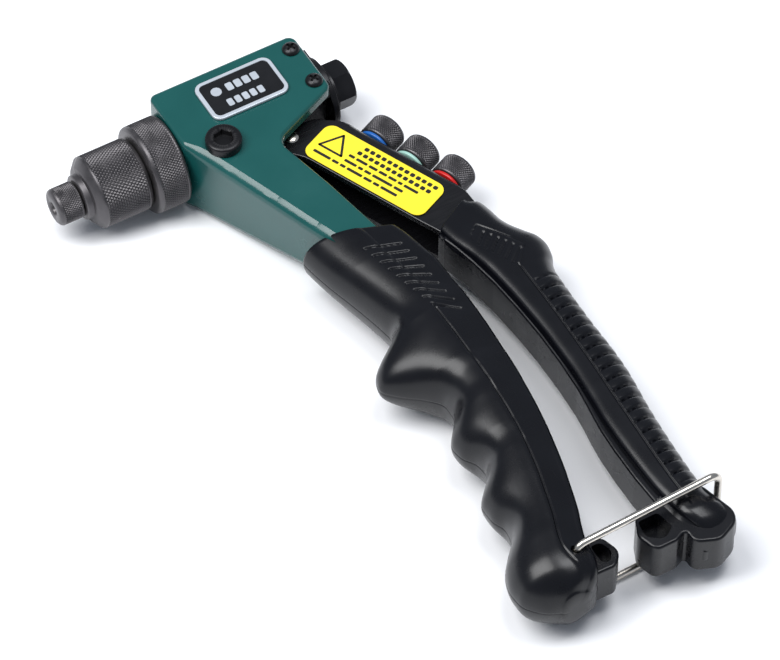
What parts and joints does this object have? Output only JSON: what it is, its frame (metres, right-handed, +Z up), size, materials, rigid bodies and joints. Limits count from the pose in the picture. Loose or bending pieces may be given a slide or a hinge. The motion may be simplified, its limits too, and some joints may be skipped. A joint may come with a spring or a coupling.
{
  "type": "hand riveter",
  "caption": "Plier-type blind rivet tool lying on its side: knurled nose, enamelled cast head, hinged steel lever carrying spare nosepieces, moulded grips and a wire latch bail.",
  "frame": {"origin": "middle of the tool's plan view, at the level of the surface it lies on", "axes": "+X along the barrel from nose to tail, +Y from the handles' ends towards the head, +Z up, out of the side that carries the nameplate and the pivot bolt's head"},
  "size_m": [0.1268, 0.2359, 0.0335],
  "materials": {
    "paint_green": "glossy enamel",
    "steel_dark": "phosphated, satin",
    "steel_black": "blackened, satin",
    "steel_bright": "nickel plated",
    "grip_black": "moulded, semi-matte",
    "label_yellow": "printed film",
    "border_silver": "satin",
    "field_black": "printed film",
    "ring_blue": "moulded",
    "ring_pale": "moulded",
    "ring_red": "moulded"
  },
  "bodies": {
    "frame": {"frame_casting": "paint_green", "nameplate_border": "border_silver", "nameplate_field": "field_black", "pivot_bolt": "steel_black", "pivot_bush": "steel_bright", "pivot_nut": "steel_black", "nosepiece_fitted": "steel_dark", "nose_sleeve": "steel_dark", "rear_plug": "steel_black", "rear_cap": "steel_black", "rear_screw_upper_1": "steel_black", "rear_screw_upper_2": "steel_black", "front_grip": "grip_black"},
    "lever": {"lever_channel": "steel_black", "lever_pin": "steel_bright", "lever_label": "label_yellow", "ring_blue": "ring_blue", "ring_pale": "ring_pale", "ring_red": "ring_red", "spare_nosepiece_1": "steel_dark", "spare_nosepiece_2": "steel_dark", "spare_nosepiece_3": "steel_dark", "lever_grip": "grip_black"},
    "pull_train": {"jaw_case": "steel_bright", "jaw_upper": "steel_bright", "jaw_lower": "steel_bright", "jaw_pusher": "steel_bright", "jaw_spring": "steel_bright", "draw_tube": "steel_bright", "return_spring": "steel_bright"},
    "bail": {"latch_bail": "steel_bright"},
    "collar": {"lock_collar": "steel_dark"}
  },
  "joints": [
    {"name": "lever_hinge", "type": "hinge", "parent": "frame", "child": "lever", "pos_m": [-0.0095, 0.089, 0.015], "axis": [0, 0, 1], "range_deg": [-2, 7], "deforming": ["latch_bail"]},
    {"name": "pull_slide", "type": "slide", "parent": "frame", "child": "pull_train", "axis": [-1, 0, 0], "range_m": [-0.00065, 0.0022], "deforming": ["return_spring"]},
    {"name": "bail_hinge", "type": "hinge", "parent": "frame", "child": "bail", "pos_m": [0.0061, -0.099, 0.015], "axis": [0, 0, 1], "range_deg": [-110, 0], "deforming": ["latch_bail"]},
    {"name": "collar_turn", "type": "hinge", "parent": "frame", "child": "collar", "pos_m": [-0.0267, 0.1037, 0.015], "axis": [1, 0, 0], "continuous": true}
  ],
  "couplings": [
    {"joint": "pull_slide", "follows": "lever_hinge", "m_per_rad": 0.0174}
  ]
}
